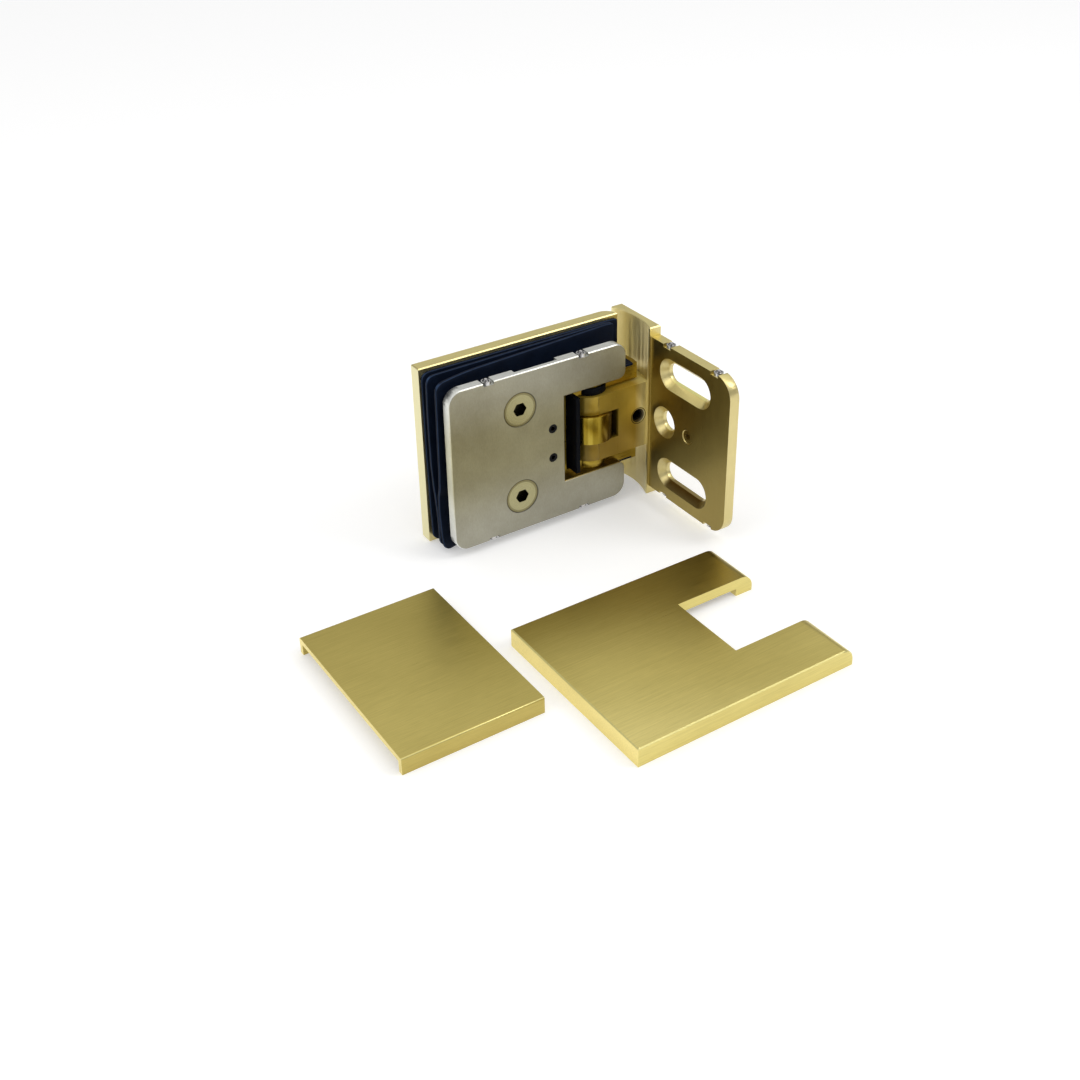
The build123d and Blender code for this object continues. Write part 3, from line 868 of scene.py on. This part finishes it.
def make_spring():
    low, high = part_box("pusher_spring_upper")
    bpy.ops.object.select_all(action="DESELECT")
    bpy.ops.mesh.primitive_circle_add(
        vertices=wire_sides,
        radius=spring_wire,
        location=(spring_wire, 0.0, spring_coil),
        rotation=(math.pi / 2, 0.0, 0.0),
    )
    spring = bpy.context.object
    settle()
    winding = spring.modifiers.new("winding", "SCREW")
    winding.axis = "X"
    winding.iterations = spring_turns
    winding.screw_offset = (high[0] - low[0] - 2 * spring_wire) / spring_turns
    winding.steps = spring_steps
    winding.render_steps = spring_steps
    bpy.ops.object.modifier_apply(modifier=winding.name)
    start_edit()
    bpy.ops.mesh.remove_doubles(threshold=weld_reach / 2)
    bpy.ops.mesh.fill_holes(sides=wire_sides)
    end_edit()
    finish_piece(spring, "bright_steel", 50)
    return spring


def place_springs(first):
    for side, spring in (("upper", first), ("lower", copy_piece(first))):
        name = "pusher_spring_" + side
        low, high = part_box(name)
        seat = (low[0], (low[1] + high[1]) / 2, (low[2] + high[2]) / 2)
        spring.name = "wound_spring_" + side
        spring.location = seat
        settle_alone(spring)
        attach(spring, "leaf")
        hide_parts(name)
        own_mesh(spring)


place_springs(make_spring())


# Rubber sheets: thin gaskets that fan out from the back plate and curl at their free ends
sheet_thickness = 1.4 * mm
sheet_half = 43.2 * mm
sheet_left = -0.1150
sheet_front_end = gasket_right_end - 4.5 * mm
sheet_cut_x = -0.0855
sheet_cut_half = 30.2 * mm
sheet_columns = (18, 16)
sheet_rows = (9, 30, 9)
sheet_edge = 0.4 * mm
free_corner = 4.2 * mm
clamped_corner = 1.5 * mm
curl_start = 80.0
curl_run = 24.0

# How far the free edge stands off the wall face, by height, in millimetres
sheet_run = 105.5
back_edge = ((-43, 3.1), (-20, 2.0), (5, 1.4), (43, 1.4))
middle_edge = ((-40, 9.7), (-30, 9.4), (-24, 8.8), (-18, 7.9), (-11, 6.5), (0, 5.4), (20, 5.1), (43, 5.7))
front_edge = (
    (-43, 13.5),
    (-33, 11.4),
    (-29, 11.0),
    (-24, 10.6),
    (-16.7, 10.7),
    (-8.6, 12.4),
    (0, 13.0),
    (39, 13.9),
    (43, 14.9),
)


def along_table(table, value):
    for (low, first), (high, second) in zip(table, table[1:]):
        if value <= high:
            part = max(0.0, (value - low) / (high - low))
            part = part * part * (3.0 - 2.0 * part)
            return first + (second - first) * part
    return table[-1][1]


def stand(run, z, seat, lean, curl, edge):
    top = edge[-1][1]
    curled = curl * (max(0.0, run - curl_start) / curl_run) ** 2
    return seat + lean * run + curled + (along_table(edge, z) - top) * (run / sheet_run) ** 3


def spread_lines(stops, counts):
    lines = [stops[0]]
    for low, high, count in zip(stops, stops[1:], counts):
        lines += [low + (high - low) * (step + 1) / count for step in range(count)]
    return lines


# A corner square of the grid is drawn in to a quarter circle
def round_corner(x, z, corner_x, corner_z, radius):
    side_x = 1.0 if corner_x > sheet_cut_x else -1.0
    side_z = 1.0 if corner_z > 0.0 else -1.0
    u = (x - (corner_x - side_x * radius)) * side_x / radius
    v = (z - (corner_z - side_z * radius)) * side_z / radius
    if u <= 0.0 or v <= 0.0:
        return x, z
    reach = max(u, v)
    turn = math.pi / 4 * v / u if u >= v else math.pi / 2 - math.pi / 4 * u / v
    x = corner_x - side_x * radius * (1.0 - reach * math.cos(turn))
    z = corner_z - side_z * radius * (1.0 - reach * math.sin(turn))
    return x, z


def add_grid(name, left, right, half, columns, rows):
    bpy.ops.object.select_all(action="DESELECT")
    bpy.ops.mesh.primitive_grid_add(
        x_subdivisions=len(columns) - 1,
        y_subdivisions=len(rows) - 1,
        size=1.0,
        location=((left + right) / 2, 0.0, 0.0),
        rotation=(math.pi / 2, 0.0, 0.0),
    )
    grid = bpy.context.object
    grid.name = name
    grid.scale = (right - left, 2 * half, 1.0)
    settle()
    for point in grid.data.vertices:
        column = round((point.co.x - left) / (right - left) * (len(columns) - 1))
        row = round((point.co.z + half) / (2 * half) * (len(rows) - 1))
        point.co.x = columns[column]
        point.co.z = rows[row]
    return grid


def cut_notch(sheet):
    bpy.ops.object.mode_set(mode="EDIT")
    bpy.ops.mesh.select_all(action="DESELECT")
    bpy.ops.object.mode_set(mode="OBJECT")
    for face in sheet.data.polygons:
        middle = face.center
        face.select = middle.x > sheet_cut_x and abs(middle.z) < sheet_cut_half
    bpy.ops.object.mode_set(mode="EDIT")
    bpy.ops.mesh.select_mode(type="FACE")
    bpy.ops.mesh.delete(type="FACE")
    bpy.ops.object.mode_set(mode="OBJECT")


def make_sheet(name, right_end, seat, lean, curl, edge):
    columns = spread_lines((sheet_left, sheet_cut_x, right_end), sheet_columns)
    rows = spread_lines((-sheet_half, -sheet_cut_half, sheet_cut_half, sheet_half), sheet_rows)
    sheet = add_grid(name, sheet_left, right_end, sheet_half, columns, rows)
    cut_notch(sheet)
    for point in sheet.data.vertices:
        x, z = point.co.x, point.co.z
        for corner_x, radius in ((sheet_left, free_corner), (right_end, clamped_corner)):
            for corner_z in (sheet_half, -sheet_half):
                x, z = round_corner(x, z, corner_x, corner_z, radius)
        run = (gasket_right_end - x) / mm
        point.co = (x, gasket_wall_face - stand(run, z / mm, seat, lean, curl, edge) * mm, z)
    shell = sheet.modifiers.new("thickness", "SOLIDIFY")
    shell.thickness = sheet_thickness
    shell.offset = -1.0
    bpy.ops.object.modifier_apply(modifier=shell.name)
    break_rims(sheet, sheet_edge, 50)
    finish_piece(sheet, "rubber", 40)
    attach(sheet, "leaf")
    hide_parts(name.replace("sheet", "gasket"))


make_sheet("sheet_back", gasket_right_end, seat=1.4, lean=0.0, curl=0.0, edge=back_edge)
make_sheet("sheet_middle", sheet_front_end, seat=2.8, lean=0.028, curl=0.0, edge=middle_edge)
make_sheet("sheet_front", sheet_front_end, seat=4.2, lean=0.073, curl=3.1, edge=front_edge)


# Studio: a pale floor that glows only to the camera and in reflections
def make_floor():
    bpy.ops.object.select_all(action="DESELECT")
    bpy.ops.mesh.primitive_plane_add(size=floor_size, location=(0.0, 0.0, table_z - floor_gap))
    floor = bpy.context.object
    floor.name = "studio_floor"
    material, tree, surface = new_finish("pale_floor")
    surface.inputs["Base Color"].default_value = (floor_tone, floor_tone, floor_tone, 1.0)
    surface.inputs["Roughness"].default_value = floor_rough
    surface.inputs["Specular IOR Level"].default_value = floor_shine
    rays = shade(tree, "ShaderNodeLightPath", (-900, 400)).outputs
    seen = reckon(tree, (-700, 400), "MAXIMUM", rays["Is Camera Ray"], rays["Is Glossy Ray"])
    clear = reckon(tree, (-500, 400), "MAXIMUM", seen, rays["Is Transmission Ray"])
    glow = shade(tree, "ShaderNodeEmission", (0, 400), Color=(1.0, 1.0, 1.0, 1.0), Strength=floor_glow)
    both = shade(tree, "ShaderNodeAddShader", (300, 300))
    tree.links.new(surface.outputs[0], both.inputs[0])
    tree.links.new(glow.outputs[0], both.inputs[1])
    pick = shade(tree, "ShaderNodeMixShader", (500, 200))
    for slot, value in zip(pick.inputs, (clear, surface.outputs[0], both.outputs[0])):
        tree.links.new(value, slot)
    tree.links.new(pick.outputs[0], tree.nodes["Material Output"].inputs["Surface"])
    floor.data.materials.append(material)


def add_softbox(name, place, width, power):
    light = bpy.data.lights.new(name, "AREA")
    light.shape = "RECTANGLE"
    light.size = width
    light.size_y = width
    light.energy = power
    lamp = bpy.data.objects.new(name, light)
    lamp.location = place
    lamp.rotation_euler = (lamp_aim - place).to_track_quat("-Z", "Y").to_euler()
    scene.collection.objects.link(lamp)


# Room: its tone changes with height only
def make_world():
    world = bpy.data.worlds.new("studio_world")
    scene.world = world
    world.use_nodes = True
    tree = world.node_tree
    place = shade(tree, "ShaderNodeTexCoord", (-1100, 0)).outputs["Generated"]
    height = shade(tree, "ShaderNodeSeparateXYZ", (-900, 0), Vector=place).outputs["Z"]
    rise = shade(tree, "ShaderNodeMapRange", (-700, 0), Value=height)
    ramp = shade(tree, "ShaderNodeValToRGB", (-500, 0), Fac=rise.outputs[0])
    stops = ramp.color_ramp.elements
    for stop, (at, tone) in zip(stops, (room_stops[0], room_stops[-1])):
        stop.position = at
        stop.color = (tone, tone, tone, 1.0)
    for at, tone in room_stops[1:-1]:
        stops.new(at).color = (tone, tone, tone, 1.0)
    tree.links.new(ramp.outputs[0], tree.nodes["Background"].inputs["Color"])


make_floor()
make_world()
for softbox in softboxes:
    add_softbox(*softbox)
scene.view_settings.view_transform = "Standard"
